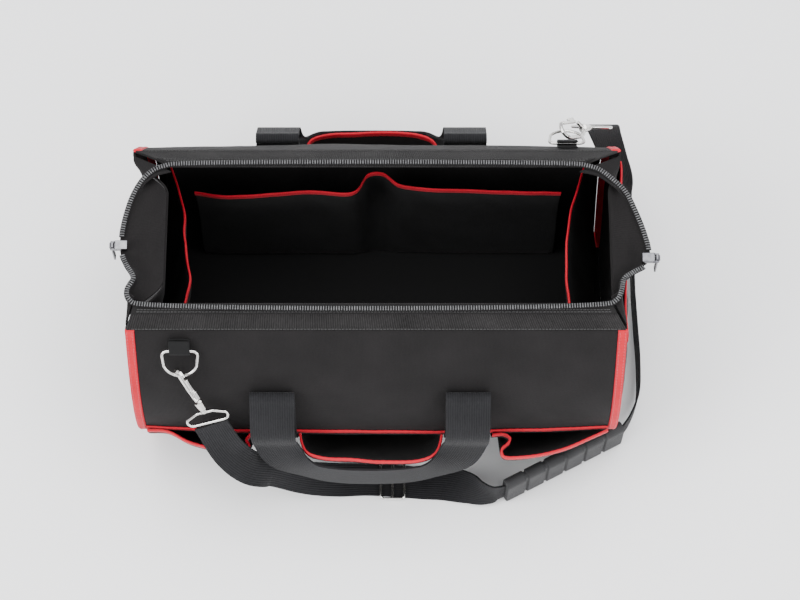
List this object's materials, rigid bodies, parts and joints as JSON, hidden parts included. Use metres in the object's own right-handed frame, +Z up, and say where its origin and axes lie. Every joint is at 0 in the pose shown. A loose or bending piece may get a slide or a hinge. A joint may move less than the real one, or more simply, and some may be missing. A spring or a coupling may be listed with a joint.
{
  "type": "tool bag",
  "caption": "Wide-mouthed black cloth tool bag with red bound edges, zipped mouth standing open, hanging handles, outside and inside pockets and a clip-on shoulder strap.",
  "frame": {"origin": "middle of the underside of the base, on the surface that the bag stands on", "axes": "+X along the bag to its right end, -Y to the front where the strap's pad lies, +Z up"},
  "size_m": [0.5856, 0.4253, 0.3009],
  "materials": {
    "black_cloth": "matte woven polyester",
    "lining_cloth": "matte coated cloth",
    "black_webbing": "ribbed webbing",
    "red_binding": "satin binding tape",
    "zip_teeth": "moulded",
    "pad_rubber": "moulded, ribbed",
    "nickel": "bright plated"
  },
  "bodies": {
    "bag": {"base_panel": "black_cloth", "front_panel": "black_cloth", "front_top_band": "black_cloth", "front_zip_row": "zip_teeth", "front_flat_pocket": "black_cloth", "front_flat_pocket_binding": "red_binding", "front_handle": "black_webbing", "front_left_corner_binding": "red_binding", "front_left_sewn_strap": "black_webbing", "front_right_corner_binding": "red_binding", "front_right_sewn_strap": "black_webbing", "back_panel": "black_cloth", "back_top_band": "black_cloth", "back_zip_row": "zip_teeth", "back_flat_pocket": "black_cloth", "back_flat_pocket_binding": "red_binding", "back_handle": "black_webbing", "back_left_corner_binding": "red_binding", "back_left_sewn_strap": "black_webbing", "back_right_corner_binding": "red_binding", "back_right_sewn_strap": "black_webbing", "left_end_panel": "black_cloth", "left_gusset": "black_cloth", "left_slider": "nickel", "inner_left_pocket": "lining_cloth", "inner_left_pocket_binding": "red_binding", "right_end_panel": "black_cloth", "right_gusset": "black_cloth", "right_slider": "nickel", "inner_right_pocket": "lining_cloth", "inner_right_pocket_binding": "red_binding", "inner_back_pocket": "lining_cloth", "inner_back_pocket_binding": "red_binding", "front_left_pocket": "black_cloth", "front_left_pocket_binding": "red_binding", "front_centre_pocket": "black_cloth", "front_centre_pocket_binding": "red_binding", "front_right_pocket": "black_cloth", "front_right_pocket_binding": "red_binding", "back_centre_pocket": "black_cloth", "back_centre_pocket_binding": "red_binding", "right_end_pocket": "black_cloth", "right_end_pocket_binding": "red_binding", "strap_front": "black_webbing", "strap_side": "black_webbing", "strap_back": "black_webbing", "shoulder_pad": "pad_rubber", "strap_slide": "nickel", "front_ring": "nickel", "front_tab": "black_webbing", "front_hook_body": "nickel", "front_hook_eye": "nickel", "back_ring": "nickel", "back_tab": "black_webbing", "back_hook_body": "nickel", "back_hook_eye": "nickel"},
    "left_puller": {"left_puller": "nickel"},
    "right_puller": {"right_puller": "nickel"},
    "front_hook_gate": {"front_hook_gate": "nickel"},
    "back_hook_gate": {"back_hook_gate": "nickel"}
  },
  "joints": [
    {"name": "left_puller_swing", "type": "hinge", "parent": "bag", "child": "left_puller", "pos_m": [-0.28064, -0.011, 0.2899], "axis": [0, 1, 0], "range_deg": [-10, 95]},
    {"name": "right_puller_swing", "type": "hinge", "parent": "bag", "child": "right_puller", "pos_m": [0.29773, -0.02501, 0.28961], "axis": [0, 1, 0], "range_deg": [-95, 10]},
    {"name": "front_gate_hinge", "type": "hinge", "parent": "bag", "child": "front_hook_gate", "pos_m": [-0.18968, -0.16036, 0.22531], "axis": [-0.7662, -0.6422, -0.024], "range_deg": [0, 18], "stiffness_Nm_per_rad": 0.05, "springref_deg": -5.73},
    {"name": "back_gate_hinge", "type": "hinge", "parent": "bag", "child": "back_hook_gate", "pos_m": [0.21929, 0.16608, 0.22749], "axis": [0.7112, 0.2504, 0.6569], "range_deg": [0, 18], "stiffness_Nm_per_rad": 0.05, "springref_deg": -5.73}
  ]
}
